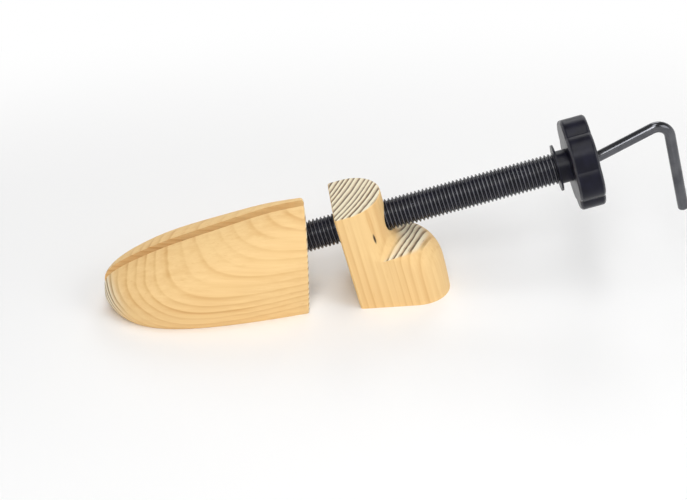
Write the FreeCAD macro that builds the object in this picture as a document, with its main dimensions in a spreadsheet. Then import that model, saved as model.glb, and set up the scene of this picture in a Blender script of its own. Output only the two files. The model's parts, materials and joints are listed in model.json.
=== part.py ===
import FreeCAD, Part
import math
import os
import re
import Sketcher

# A two-way shoe stretcher. The knob and its hollow screw sleeve set the length between the
# toe and the heel block, and the hooked rod inside the sleeve spreads the two toe halves.
# Frame: +X towards the knob, +Z up, z = 0 under the toe soles and the heel block.
# Pieces on the screw are drawn in axis coordinates: u along the axis, v = Y, w square to both.

# Driving sizes in millimetres, degrees and counts
SIZES = {
    "axis_tilt": 14.0,
    "axis_height": 56.0,
    "running_clearance": 0.05,
    "body_clearance": 0.4,
    "sleeve_radius": 10.0,
    "sleeve_chamfer": 1.5,
    "sleeve_rear": 107.9,
    "thread_pitch": 2.5,
    "thread_depth": 1.35,
    "thread_crest_width": 0.65,
    "thread_root_width": 0.4,
    "journal_step": 3.0,
    "journal_overhang": 2.5,
    "circlip_thickness": 1.0,
    "circlip_bite": 0.8,
    "circlip_height": 2.2,
    "circlip_mouth": 4.0,
    "thrust_washer_thickness": 1.0,
    "thrust_washer_lip": 1.5,
    "tail_step": 2.0,
    "tail_seat": 11.4,
    "flange_lip": 4.3,
    "flange_thickness": 1.3,
    "collar_wall": 2.6,
    "collar_length": 7.1,
    "knob_thickness": 16.6,
    "knob_lobes": 7,
    "knob_lobe_radius": 15.3,
    "knob_lobe_offset": 14.8,
    "knob_phase": 34.0,
    "knob_valley_round": 2.0,
    "knob_edge_round": 2.2,
    "rod_radius": 3.5,
    "rod_thread_step": 0.5,
    "rod_journal_step": 0.8,
    "rod_groove_depth": 0.5,
    "rod_tip_length": 3.5,
    "rod_tip_room": 2.0,
    "rod_end_round": 1.6,
    "hook_exit": 0.6,
    "hook_exit_radius": 12.0,
    "hook_rise": 14.5,
    "hook_reach": 36.4,
    "hook_bend_radius": 8.5,
    "hook_turn": 104.0,
    "hook_leg": 56.5,
    "boss_rear": 62.0,
    "boss_length": 12.0,
    "boss_wall": 3.0,
    "counterbore_depth": 3.0,
    "counterbore_room": 1.6,
    "frame_thickness": 6.0,
    "frame_lip": 2.5,
    "frame_corner_round": 3.0,
    "lug_length": 14.0,
    "window_room": 0.5,
    "window_margin": 1.0,
    "block_length": 10.0,
    "wedge_length": 20.0,
    "wedge_narrow": 8.0,
    "wedge_slope": 0.5,
    "wedge_half_height": 8.0,
    "ramp_thickness": 3.0,
    "ramp_overrun": 2.0,
    "ramp_screw_inset": 8.0,
    "ramp_screw_radius": 1.6,
    "ramp_screw_head": 3.0,
    "ramp_screw_head_depth": 1.6,
    "ramp_screw_length": 12.0,
    "rod_washer_width": 2.8,
    "rod_washer_thickness": 1.0,
    "rod_circlip_height": 2.3,
    "rod_circlip_mouth": 2.4,
    "rod_circlip_thickness": 0.8,
    "pin_radius": 3.0,
    "pin_half_length": 20.0,
    "pin_wall": 2.5,
    "bush_wall": 1.5,
    "bush_length": 10.0,
    "spring_coil_radius": 3.2,
    "spring_wire_radius": 0.5,
    "spring_turns": 8,
    "spring_half_length": 16.0,
    "spring_rear_place": 94.0,
    "spring_wall": 1.5,
    "spring_room": 1.3,
    "anchor_flange_length": 2.4,
    "anchor_stud_length": 5.0,
    "anchor_screw_radius": 1.8,
    "anchor_screw_length": 8.0,
    "toe_rear": 56.0,
    "toe_length": 130.0,
    "toe_gap": 7.3,
    "toe_close": 2.0,
    "toe_open": 8.0,
    "toe_rear_half_width": 29.0,
    "toe_ball_half_width": 38.5,
    "toe_ball_place": 72.0,
    "toe_rear_height": 68.0,
    "toe_ball_height": 49.0,
    "toe_box_height": 32.0,
    "toe_nose_height": 13.0,
    "toe_rear_round": 2.0,
    "toe_sole_depth": 3.0,
    "toe_spring": 9.0,
    "toe_spring_curve": 4.0,
    "toe_nose_round": 0.9,
    "toe_widest_share": 0.36,
    "toe_sole_share": 0.74,
    "toe_fullness": 0.78,
    "toe_rear_slope": 0.1,
    "heel_front": 35.5,
    "heel_width": 48.0,
    "heel_stem_depth": 32.2,
    "heel_foot_depth": 60.0,
    "heel_top": 20.2,
    "heel_waist": 5.0,
    "heel_cove_radius": 13.5,
    "heel_swell": 40.0,
    "heel_base_taper": 1.5,
    "heel_corner_round": 1.5,
    "heel_top_round": 1.2,
    "nut_lip": 4.0,
    "nut_flange_thickness": 3.0,
    "nut_wall": 3.0,
    "nut_length": 20.0,
    "nut_screw_edge": 0.1,
    "nut_screw_radius": 1.5,
    "nut_screw_length": 11.0,
    "nut_screw_head": 2.0,
    "nut_screw_head_depth": 1.4,
    "nut_screws": 3,
}

# Places that follow from the sizes, as distances along the axis ahead of the datum
# unless the name says otherwise
PLACES = {
    "half_gap": "toe_gap / 2",
    "journal_radius": "sleeve_radius - journal_step",
    "thread_root_radius": "sleeve_radius - thread_depth",
    "thread_cut_radius": "sleeve_radius + body_clearance",
    "thread_mouth": "thread_pitch - thread_crest_width",
    "thread_cut_width": "thread_mouth + (thread_mouth - thread_root_width) * body_clearance / thread_depth",
    "thread_start": "sleeve_front + thread_pitch",
    "thrust_washer_radius": "sleeve_radius + thrust_washer_lip",
    "tail_radius": "sleeve_radius - tail_step",
    "collar_radius": "tail_radius + collar_wall",
    "flange_radius": "collar_radius + flange_lip",
    "boss_front": "boss_rear + boss_length",
    "sleeve_front": "boss_rear - thrust_washer_thickness - running_clearance",
    "counterbore_floor": "boss_front - counterbore_depth",
    "circlip_rear": "counterbore_floor + running_clearance",
    "circlip_front": "circlip_rear + circlip_thickness",
    "journal_front": "counterbore_floor + journal_overhang",
    "groove_radius": "journal_radius - circlip_bite",
    "circlip_radius": "groove_radius + circlip_height",
    "counterbore_radius": "circlip_radius + counterbore_room",
    "boss_radius": "counterbore_radius + boss_wall",
    "frame_half_height": "boss_radius + frame_lip",
    "sleeve_bore": "rod_radius + body_clearance",
    "collar_front": "sleeve_rear + flange_thickness",
    "knob_front": "collar_front + collar_length",
    "knob_rear": "knob_front + knob_thickness",
    "tail_rear": "knob_front + tail_seat",
    "wedge_rear": "boss_front + window_margin + toe_open / wedge_slope",
    "wedge_front": "wedge_rear + wedge_length",
    "wedge_wide": "wedge_narrow + wedge_length * wedge_slope",
    "window_half_height": "wedge_half_height + window_room",
    "window_front": "wedge_front + toe_close / wedge_slope + window_margin",
    "block_front": "window_front + block_length",
    "rod_thread_radius": "rod_radius - rod_thread_step",
    "rod_journal_radius": "rod_thread_radius - rod_journal_step",
    "rod_step": "boss_front",
    "rod_shoulder": "window_front - running_clearance",
    "rod_washer_rear": "block_front + running_clearance",
    "rod_washer_front": "rod_washer_rear + rod_washer_thickness",
    "rod_circlip_rear": "rod_washer_front + running_clearance",
    "rod_circlip_front": "rod_circlip_rear + rod_circlip_thickness",
    "rod_tip": "block_front + rod_tip_length",
    "rod_pocket_front": "rod_tip + rod_tip_room",
    "rod_groove_radius": "rod_journal_radius - rod_groove_depth",
    "rod_washer_radius": "rod_journal_radius + rod_washer_width",
    "rod_circlip_radius": "rod_groove_radius + rod_circlip_height",
    "recess_floor": "frame_thickness / 2 + toe_close + body_clearance",
    "ramp_rear": "wedge_rear + (recess_floor - wedge_narrow) / wedge_slope",
    "ramp_front": "wedge_front + ramp_overrun",
    "ramp_rear_inner": "recess_floor + running_clearance",
    "ramp_front_inner": "wedge_narrow + (ramp_front - wedge_rear) * wedge_slope + running_clearance",
    "ramp_depth": "ramp_thickness * sqrt(1 + wedge_slope ^ 2)",
    "lug_front": "boss_rear + lug_length",
    "pin_rear_place": "boss_rear + lug_length / 2",
    "pin_rear_drop": "boss_radius + pin_wall + pin_radius",
    "lug_drop": "pin_rear_drop + pin_radius + pin_wall",
    "pin_front_place": "window_front + block_length / 2",
    "pin_front_drop": "frame_half_height - pin_wall - pin_radius",
    "bush_radius": "pin_radius + running_clearance + bush_wall",
    "pin_hole_end": "pin_half_length + toe_close + body_clearance",
    "anchor_face": "spring_half_length + spring_wire_radius + running_clearance",
    "anchor_stud_radius": "spring_coil_radius - spring_wire_radius - 2 * running_clearance",
    "anchor_back": "anchor_face + anchor_flange_length",
    "spring_hole_radius": "spring_coil_radius + spring_wire_radius + spring_room",
    "spring_rear_drop": "frame_half_height + spring_wall + spring_hole_radius",
    "spring_front_place": "rod_pocket_front + spring_wall + spring_hole_radius",
    "nut_barrel_radius": "sleeve_radius + nut_wall",
    "nut_flange_radius": "nut_barrel_radius + nut_lip",
    "nut_screw_circle": "nut_flange_radius - nut_screw_edge - nut_screw_head",
}

PARALLEL = 0.99
LOFT_DEGREE = 3
AXIS_PLACEMENT = "placement(vector(0; 0; axis_height); rotation(vector(0; 1; 0); -axis_tilt))"
SPRING_PLACES = {
    "rear": ("-spring_rear_place", "-spring_rear_drop"),
    "front": ("-spring_front_place", "0"),
}
PIN_PLACES = {
    "rear": ("-pin_rear_place", "-pin_rear_drop"),
    "front": ("-pin_front_place", "-pin_front_drop"),
}

doc = FreeCAD.newDocument("shoe_stretcher")
sheet = doc.addObject("Spreadsheet::Sheet", "sizes")
for row, (alias, value) in enumerate(SIZES.items(), start=1):
    sheet.set(f"A{row}", alias.replace("_", " "))
    sheet.set(f"B{row}", str(value))
    sheet.setAlias(f"B{row}", alias)
doc.recompute()

pieces = []


def size(alias):
    return float(sheet.get(alias))


def cells(formula):
    # every size in a formula is spelled out as its cell, and every place as its own formula
    def spell(match):
        word = match.group(0)
        if word in PLACES:
            return "(" + cells(PLACES[word]) + ")"
        return "sizes." + word if word in SIZES else word
    return re.sub(r"[a-z][a-z_]*", spell, formula)


def bind(item, **formulas):
    for name, formula in formulas.items():
        item.setExpression(name, cells(formula))
    return item


def keep(item, label, placement=AXIS_PLACEMENT):
    item.Label = label
    if placement:
        bind(item, Placement=placement)
    pieces.append(item)
    return item


# Solids from primitives, in axis coordinates

def along_axis(start, cross):
    return f"placement(vector({start}; {cross[0]}; {cross[1]}); rotation(vector(0; 1; 0); 90))"


def across_axis(start, cross):
    return f"placement(vector({cross[0]}; {start}; {cross[1]}); rotation(vector(1; 0; 0); -90))"


def cylinder(name, direction, start, length, radius, cross=("0", "0")):
    return bind(doc.addObject("Part::Cylinder", name), Radius=radius, Height=length,
                Placement=direction(start, cross))


def block(name, us, vs, ws):
    item = doc.addObject("Part::Box", name)
    for side, (low, high) in zip(("Length", "Width", "Height"), (us, vs, ws)):
        bind(item, **{side: f"({high}) - ({low})"})
    return bind(item, Placement=f"placement(vector({us[0]}; {vs[0]}; {ws[0]}); rotation(vector(0; 0; 1); 0))")


def fuse(name, items):
    item = doc.addObject("Part::MultiFuse", name)
    item.Shapes = items
    return item


def cut(name, base, tool):
    item = doc.addObject("Part::Cut", name)
    item.Base = base
    item.Tool = tool
    return item


def group(name, items):
    item = doc.addObject("Part::Compound", name)
    item.Links = items
    return item


def mirrored(source, label):
    item = doc.addObject("Part::Mirroring", label)
    item.Source = source
    item.Normal = FreeCAD.Vector(0, 1, 0)
    return keep(item, label, None)


# Bodies with sketches

def new_body(label):
    return keep(doc.addObject("PartDesign::Body", label), label)


def new_sketch(body, name, role, offset=None):
    item = body.newObject("Sketcher::SketchObject", name)
    item.AttachmentSupport = [(next(f for f in body.Origin.OriginFeatures if f.Role == role), "")]
    item.MapMode = "FlatFace"
    if offset:
        item.setExpression("AttachmentOffset.Base.z", cells(offset))
    return item


def set_point(item, edge, end, place):
    # fixes a sketch point by its two coordinates
    for kind, formula in zip(("DistanceX", "DistanceY"), place):
        index = item.addConstraint(Sketcher.Constraint(kind, -1, 1, edge, end, 1.0))
        item.setExpression(f"Constraints[{index}]", cells(formula))


def add_polygon(item, corners):
    count = len(corners)
    first = item.GeometryCount
    guesses = [FreeCAD.Vector(math.cos(2 * math.pi * i / count), math.sin(2 * math.pi * i / count), 0)
               for i in range(count)]
    for i in range(count):
        item.addGeometry(Part.LineSegment(guesses[i], guesses[(i + 1) % count]), False)
    for i in range(count):
        item.addConstraint(Sketcher.Constraint("Coincident", first + i, 2, first + (i + 1) % count, 1))
    for i, corner in enumerate(corners):
        set_point(item, first + i, 1, corner)
    return item


def add_circle(item, centre, radius):
    edge = item.addGeometry(Part.Circle(FreeCAD.Vector(0.5, 0.5, 0), FreeCAD.Vector(0, 0, 1), 1.0), False)
    set_point(item, edge, 3, centre)
    index = item.addConstraint(Sketcher.Constraint("Radius", edge, 1.0))
    item.setExpression(f"Constraints[{index}]", cells(radius))
    return item


def rectangle(us, vs):
    return [(us[0], vs[0]), (us[1], vs[0]), (us[1], vs[1]), (us[0], vs[1])]


def feature(body, kind, name, profile, **formulas):
    item = body.newObject("PartDesign::" + kind, name)
    item.Profile = profile
    return bind(item, **formulas)


def turned(body, kind, name, corners):
    # a profile of (u, radius) corners turned once about the axis
    profile = add_polygon(new_sketch(body, name + "_profile", "XZ_Plane"), corners)
    item = feature(body, kind, name, profile)
    item.ReferenceAxis = (profile, ["H_Axis"])
    return item


def padded(body, name, profile, length, symmetric=True):
    item = feature(body, "Pad", name, profile, Length=length)
    item.Midplane = symmetric
    return item


def pocketed(body, name, profile, length=None, reverse=False):
    item = feature(body, "Pocket", name, profile)
    if length:
        bind(item, Length=length)
        item.Reversed = reverse
    else:
        item.Type = "ThroughAll"
        item.Midplane = True
    return item


def rounded(body, name, base, test, radius):
    # fillets every edge of the base feature that passes the test
    doc.recompute()
    names = [f"Edge{i + 1}" for i, edge in enumerate(base.Shape.Edges) if test(edge)]
    item = body.newObject("PartDesign::Fillet", name)
    item.Base = (base, names)
    return bind(item, Radius=radius)


def runs_along(edge, axis):
    return abs(edge.tangentAt(edge.FirstParameter).dot(axis)) > PARALLEL


def hexagon(radius):
    return [(f"{radius} * cos({60 * i})", f"{radius} * sin({60 * i})") for i in range(6)]


# Spreader frame: a plate with a window for the wedge, a boss for the sleeve and a nose for the rod

def make_frame():
    body = new_body("spreader_frame")
    outline = add_polygon(new_sketch(body, "frame_outline", "XZ_Plane"), [
        ("-boss_rear", "-lug_drop"), ("-boss_rear", "frame_half_height"),
        ("-block_front", "frame_half_height"), ("-block_front", "-frame_half_height"),
        ("-lug_front", "-frame_half_height"), ("-lug_front", "-lug_drop")])
    plate = padded(body, "frame_plate", outline, "frame_thickness")
    across = FreeCAD.Vector(0, 1, 0)
    rounded(body, "frame_corners", plate, lambda edge: runs_along(edge, across), "frame_corner_round")
    window = add_polygon(new_sketch(body, "window_outline", "XZ_Plane"), rectangle(
        ("-boss_front", "-window_front"), ("-window_half_height", "window_half_height")))
    pocketed(body, "frame_window", window)
    turned(body, "Revolution", "frame_boss", rectangle(("-boss_rear", "-boss_front"), ("0", "boss_radius")))
    turned(body, "Groove", "sleeve_seat", [
        ("-boss_rear", "0"), ("-boss_rear", "journal_radius + running_clearance"),
        ("-counterbore_floor", "journal_radius + running_clearance"),
        ("-counterbore_floor", "counterbore_radius"),
        ("-boss_front", "counterbore_radius"), ("-boss_front", "0")])
    turned(body, "Groove", "rod_seat", rectangle(
        ("-window_front", "-block_front"), ("0", "rod_journal_radius + running_clearance")))
    holes = new_sketch(body, "pin_holes", "XZ_Plane")
    for place in PIN_PLACES.values():
        add_circle(holes, place, "pin_radius")
    pocketed(body, "pin_bores", holes)


def make_pins():
    for end, place in PIN_PLACES.items():
        pin = cylinder("pin_" + end, across_axis, "-pin_half_length", "2 * pin_half_length",
                       "pin_radius", place)
        keep(pin, "guide_pin_" + end, f"{AXIS_PLACEMENT} * {across_axis('-pin_half_length', place)}")


# Rings that hold the sleeve and the rod along the axis

def ring(name, front, thickness, inner, outer):
    return cut(name, cylinder(name + "_outer", along_axis, "-" + front, thickness, outer),
               cylinder(name + "_inner", along_axis, "-" + front, thickness, inner))


def make_rings():
    keep(ring("washer", "(boss_rear - running_clearance / 2)", "thrust_washer_thickness",
              "journal_radius + body_clearance", "thrust_washer_radius"), "thrust_washer")
    keep(ring("rod_ring", "rod_washer_front", "rod_washer_thickness",
              "rod_journal_radius + running_clearance", "rod_washer_radius"), "rod_washer")
    clips = (("sleeve_circlip", "circlip_front", "circlip_thickness", "groove_radius",
              "circlip_radius", "circlip_mouth"),
             ("rod_circlip", "rod_circlip_front", "rod_circlip_thickness", "rod_groove_radius",
              "rod_circlip_radius", "rod_circlip_mouth"))
    for label, front, thickness, inner, outer, mouth in clips:
        gap = block(label + "_mouth", (f"-{front}", f"-{front} + {thickness}"),
                    (f"-{mouth} / 2", f"{mouth} / 2"), ("0", f"2 * ({outer})"))
        keep(cut(label + "_open", ring(label + "_ring", front, thickness, inner, outer), gap), label)


# Screw sleeve, collar and knob: one turning body

def make_sleeve():
    body = new_body("threaded_sleeve")
    turned(body, "Revolution", "sleeve_tube", [
        ("-journal_front", "sleeve_bore"), ("-journal_front", "journal_radius"),
        ("-circlip_front", "journal_radius"), ("-circlip_front", "groove_radius"),
        ("-circlip_rear", "groove_radius"), ("-circlip_rear", "journal_radius"),
        ("-sleeve_front", "journal_radius"), ("-sleeve_front", "sleeve_radius - sleeve_chamfer"),
        ("-sleeve_front + sleeve_chamfer", "sleeve_radius"), ("sleeve_rear", "sleeve_radius"),
        ("sleeve_rear", "sleeve_bore")])
    groove = add_polygon(new_sketch(body, "thread_groove", "XZ_Plane"), [
        ("-thread_start - thread_root_width / 2", "thread_root_radius"),
        ("-thread_start + thread_root_width / 2", "thread_root_radius"),
        ("-thread_start + thread_cut_width / 2", "thread_cut_radius"),
        ("-thread_start - thread_cut_width / 2", "thread_cut_radius")])
    thread = feature(body, "SubtractiveHelix", "sleeve_thread", groove, Pitch="thread_pitch",
                     Height="thread_start + sleeve_rear + thread_pitch")
    thread.ReferenceAxis = (groove, ["H_Axis"])
    tail = new_sketch(body, "tail_outline", "YZ_Plane", "sleeve_rear")
    add_polygon(tail, hexagon("tail_radius"))
    add_circle(tail, ("0", "0"), "sleeve_bore")
    padded(body, "sleeve_tail", tail, "tail_rear - sleeve_rear", symmetric=False)


def make_collar():
    body = new_body("knob_collar")
    turned(body, "Revolution", "collar_turned", [
        ("sleeve_rear", "0"), ("sleeve_rear", "flange_radius"),
        ("collar_front", "flange_radius"), ("collar_front", "collar_radius"),
        ("knob_front", "collar_radius"), ("knob_front", "0")])
    socket = add_polygon(new_sketch(body, "collar_socket", "YZ_Plane", "sleeve_rear"), hexagon("tail_radius"))
    pocketed(body, "collar_hex", socket, "knob_front - sleeve_rear", reverse=True)


def make_knob():
    body = new_body("length_knob")
    lobe = add_circle(new_sketch(body, "lobe_outline", "YZ_Plane", "knob_front"),
                      ("knob_lobe_offset * cos(knob_phase)", "knob_lobe_offset * sin(knob_phase)"),
                      "knob_lobe_radius")
    petal = padded(body, "knob_lobe", lobe, "knob_thickness", symmetric=False)
    doc.recompute()
    petals = body.newObject("PartDesign::PolarPattern", "knob_lobes_all")
    petals.Originals = [petal]
    petals.Axis = (lobe, ["N_Axis"])
    petals.Angle = 360
    bind(petals, Occurrences="knob_lobes")
    body.Tip = petals
    along = FreeCAD.Vector(1, 0, 0)
    valleys = rounded(body, "knob_valleys", petals, lambda edge: runs_along(edge, along), "knob_valley_round")
    rounded(body, "knob_edges", valleys, lambda edge: not runs_along(edge, along), "knob_edge_round")
    doc.recompute()
    socket = add_polygon(new_sketch(body, "knob_socket", "YZ_Plane", "knob_front"), hexagon("tail_radius"))
    pocketed(body, "knob_hex", socket, "tail_rear - knob_front", reverse=True)
    bore = add_circle(new_sketch(body, "knob_bore", "YZ_Plane", "knob_front"), ("0", "0"), "sleeve_bore")
    pocketed(body, "knob_through", bore)


# Hooked rod: a straight shaft, a slight rise behind the knob and a leg bent down as the handle

def rod_path(body):
    # two tangent bends between straight runs, drawn near their places and then held by constraints
    rise = math.radians(size("hook_rise"))
    down = rise - math.radians(size("hook_turn"))
    runs = [FreeCAD.Vector(math.cos(angle), math.sin(angle), 0) for angle in (rise, down)]
    start = FreeCAD.Vector(size("sleeve_rear") + size("collar_length") + size("knob_thickness"), 0, 0)
    bends = []
    for turn, heading, following, radius in (
            (1, FreeCAD.Vector(1, 0, 0), runs[0], size("hook_exit_radius")),
            (-1, runs[0], runs[1], size("hook_bend_radius"))):
        side = FreeCAD.Vector(-heading.y, heading.x, 0) * turn
        next_side = FreeCAD.Vector(-following.y, following.x, 0) * turn
        centre = start + side * radius
        middle = centre - (side + next_side).normalize() * radius
        end = centre - next_side * radius
        bends.append((start, middle, end))
        start = end + following * size("hook_reach")
    path = new_sketch(body, "rod_path", "XZ_Plane")
    shaft = path.addGeometry(Part.LineSegment(FreeCAD.Vector(-size("boss_rear"), 0, 0), bends[0][0]), False)
    exit_bend = path.addGeometry(Part.Arc(*bends[0]), False)
    reach = path.addGeometry(Part.LineSegment(bends[0][2], bends[1][0]), False)
    hook_bend = path.addGeometry(Part.Arc(*bends[1]), False)
    leg = path.addGeometry(Part.LineSegment(bends[1][2], bends[1][2] + runs[1] * size("hook_leg")), False)
    for joint in ((shaft, 2, exit_bend, 1), (exit_bend, 2, reach, 1), (reach, 2, hook_bend, 2),
                  (hook_bend, 1, leg, 1)):
        path.addConstraint(Sketcher.Constraint("Tangent", *joint))
    set_point(path, shaft, 1, ("-rod_step", "0"))
    set_point(path, shaft, 2, ("knob_rear + hook_exit", "0"))
    for constraint, formula in (
            (Sketcher.Constraint("Radius", exit_bend, size("hook_exit_radius")), "hook_exit_radius"),
            (Sketcher.Constraint("Radius", hook_bend, size("hook_bend_radius")), "hook_bend_radius"),
            (Sketcher.Constraint("Distance", reach, size("hook_reach")), "hook_reach"),
            (Sketcher.Constraint("Distance", leg, size("hook_leg")), "hook_leg"),
            (Sketcher.Constraint("Angle", reach, rise), "hook_rise * 1 deg"),
            (Sketcher.Constraint("Angle", leg, down), "(hook_rise - hook_turn) * 1 deg")):
        index = path.addConstraint(constraint)
        path.setExpression(f"Constraints[{index}]", cells(formula))
    return path


def make_rod():
    body = new_body("hook_rod")
    profile = add_circle(new_sketch(body, "rod_section", "YZ_Plane", "-rod_step"), ("0", "0"), "rod_radius")
    path = rod_path(body)
    bar = feature(body, "AdditivePipe", "rod_bar", profile)
    bar.Spine = path
    rounded(body, "rod_end", bar, lambda edge: edge.isClosed() and edge.CenterOfMass.z < -size("rod_radius"),
            "rod_end_round")
    turned(body, "Revolution", "rod_front", [
        ("-rod_step", "0"), ("-rod_step", "rod_thread_radius"), ("-rod_shoulder", "rod_thread_radius"),
        ("-rod_shoulder", "rod_journal_radius"), ("-rod_circlip_rear", "rod_journal_radius"),
        ("-rod_circlip_rear", "rod_groove_radius"), ("-rod_circlip_front", "rod_groove_radius"),
        ("-rod_circlip_front", "rod_journal_radius"), ("-rod_tip", "rod_journal_radius"), ("-rod_tip", "0")])


# Wedge nut on the rod's thread, and the steel ramps that it drives apart

def make_wedge():
    body = new_body("wedge_nut")
    outline = add_polygon(new_sketch(body, "wedge_outline", "XY_Plane"), [
        ("-wedge_rear", "-wedge_narrow"), ("-wedge_rear", "wedge_narrow"),
        ("-wedge_front", "wedge_wide"), ("-wedge_front", "-wedge_wide")])
    padded(body, "wedge_block", outline, "2 * wedge_half_height")
    turned(body, "Groove", "wedge_bore", rectangle(
        ("-wedge_rear", "-wedge_front"), ("0", "rod_thread_radius + running_clearance")))


def ramp_screws():
    lean = "rotation(vector(0; 0; 1); -atan(wedge_slope)) * rotation(vector(1; 0; 0); -90)"
    screws = []
    for end, place in (("rear", "ramp_rear + ramp_screw_inset"), ("front", "ramp_front - ramp_screw_inset")):
        head = bind(doc.addObject("Part::Cone", "ramp_head_" + end), Radius1="ramp_screw_head",
                    Radius2="ramp_screw_radius", Height="ramp_screw_head_depth")
        shank = bind(doc.addObject("Part::Cylinder", "ramp_shank_" + end), Radius="ramp_screw_radius",
                     Height="ramp_screw_length")
        level = f"wedge_narrow + ({place} - wedge_rear) * wedge_slope + running_clearance"
        for solid in (head, shank):
            bind(solid, Placement=f"placement(vector(-({place}); {level}; 0); {lean})")
        screws.append(fuse("ramp_screw_" + end, [head, shank]))
    return screws


def make_ramp(screws):
    body = doc.addObject("PartDesign::Body", "ramp_strip")
    outline = add_polygon(new_sketch(body, "ramp_outline", "XY_Plane"), [
        ("-ramp_rear", "ramp_rear_inner"), ("-ramp_front", "ramp_front_inner"),
        ("-ramp_front", "ramp_front_inner + ramp_depth"), ("-ramp_rear", "ramp_rear_inner + ramp_depth")])
    padded(body, "ramp_bar", outline, "2 * wedge_half_height")
    plate = keep(cut("ramp_plate", body, fuse("ramp_screw_holes", screws)), "ramp_plate_left")
    pair = keep(group("ramp_screw_pair", screws), "ramp_screws_left")
    return plate, pair


# Bushes for the guide pins and threaded anchors for the return springs, left side

def make_bushes():
    bushes = []
    for end, place in PIN_PLACES.items():
        outer = cylinder("bush_outer_" + end, across_axis, "recess_floor", "bush_length",
                         "bush_radius", place)
        inner = cylinder("bush_inner_" + end, across_axis, "recess_floor", "bush_length",
                         "pin_radius + running_clearance", place)
        bushes.append(cut("bush_" + end, outer, inner))
    return keep(group("bush_pair", bushes), "guide_bushes_left")


def anchor_solids(end, place):
    return [cylinder("anchor_stud_" + end, across_axis, "anchor_face - anchor_stud_length",
                     "anchor_stud_length + anchor_flange_length", "anchor_stud_radius", place),
            cylinder("anchor_flange_" + end, across_axis, "anchor_face", "anchor_flange_length",
                     "spring_hole_radius", place),
            cylinder("anchor_screw_" + end, across_axis, "anchor_back", "anchor_screw_length",
                     "anchor_screw_radius", place)]


def make_anchors():
    anchors = [fuse("anchor_" + end, anchor_solids(end, place)) for end, place in SPRING_PLACES.items()]
    return keep(group("anchor_pair", anchors), "spring_anchors_left")


# Return springs: each quarter turn of the helix is two arcs that share a tangent

def helix_point(angle, rise):
    radius = size("spring_coil_radius")
    place = FreeCAD.Vector(radius * math.cos(angle), rise * angle, radius * math.sin(angle))
    heading = FreeCAD.Vector(-radius * math.sin(angle), rise, radius * math.cos(angle)).normalize()
    return place, heading


def biarc(start, start_heading, end, end_heading):
    across = end - start
    both = start_heading + end_heading
    spread = 2 * (1 - start_heading.dot(end_heading))
    reach = (math.sqrt(across.dot(both) ** 2 + spread * across.dot(across)) - across.dot(both)) / spread
    corners = (start + start_heading * reach, end - end_heading * reach)
    middle = (corners[0] + corners[1]) / 2
    arcs = []
    for first, corner, last in ((start, corners[0], middle), (middle, corners[1], end)):
        weight = (last - first).Length / (2 * reach)
        on_arc = (first + corner * (2 * weight) + last) / (2 + 2 * weight)
        arcs.append(Part.Arc(first, on_arc, last).toShape())
    return arcs


def least_gap(path):
    # the nearest two points of the wire's middle line that lie half a turn or more apart
    step = size("spring_wire_radius")
    points = path.discretize(Distance=step)
    apart = int(math.pi * size("spring_coil_radius") / step)
    nearest = min((point - other).Length for i, point in enumerate(points) for other in points[i + apart:])
    return nearest - 2 * step


def spring_shape():
    turns = int(size("spring_turns"))
    rise = size("spring_half_length") / (math.pi * turns)
    angles = [math.pi / 2 * i - math.pi * turns for i in range(4 * turns + 1)]
    knots = [helix_point(angle, rise) for angle in angles]
    arcs = [arc for first, last in zip(knots, knots[1:]) for arc in biarc(*first, *last)]
    path = Part.Wire(arcs)
    section = Part.Wire(Part.Circle(knots[0][0], knots[0][1], size("spring_wire_radius")).toShape())
    print("spring: least gap to itself", round(least_gap(path), 2), "mm")
    return path.makePipeShell([section], True, False)


def make_springs():
    shape = spring_shape()
    for end, (along, drop) in SPRING_PLACES.items():
        spring = doc.addObject("Part::Feature", "spring_" + end)
        spring.Shape = shape
        keep(spring, "return_spring_" + end,
             f"{AXIS_PLACEMENT} * placement(vector({along}; 0; {drop}); rotation(vector(0; 0; 1); 0))")


# Toe: a last-shaped block sawn in two, drawn from sections across its length

REAR_SHARES = (0, 0.25, 0.5, 0.75)
NOSE_ANGLES = (0, 17, 34, 50, 64, 76, 83, 87)


def toe_profile():
    # (distance from the rear, half width, top, bottom) of each section
    ball, length = size("toe_ball_place"), size("toe_length")
    floor = -size("toe_sole_depth")
    fall = (size("toe_ball_height") - size("toe_box_height")) / (length - ball)
    rows = []
    for share in REAR_SHARES:
        width = size("toe_rear_half_width") + math.sin(math.pi / 2 * share) * (
            size("toe_ball_half_width") - size("toe_rear_half_width"))
        # cubic through the rear and ball heights with their slopes
        top = (size("toe_rear_height") * (2 * share ** 3 - 3 * share ** 2 + 1)
               - size("toe_rear_slope") * ball * (share ** 3 - 2 * share ** 2 + share)
               + size("toe_ball_height") * (3 * share ** 2 - 2 * share ** 3)
               - fall * ball * (share ** 3 - share ** 2))
        rows.append((share * ball, width, top, floor))
    for degrees in NOSE_ANGLES:
        forward, closing = math.sin(math.radians(degrees)), math.cos(math.radians(degrees))
        line = size("toe_ball_height") - fall * forward * (length - ball)
        nose = size("toe_nose_height")
        rows.append((ball + forward * (length - ball),
                     size("toe_ball_half_width") * closing ** size("toe_nose_round"),
                     nose + (line - nose) * math.sqrt(closing),
                     floor + (size("toe_spring") - floor) * forward ** size("toe_spring_curve")))
    return rows


def quarter_curve(start, corner, end, fullness):
    curve = Part.BezierCurve()
    curve.setPoles([start, corner, end])
    curve.setWeight(2, fullness)
    return curve.toShape()


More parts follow.
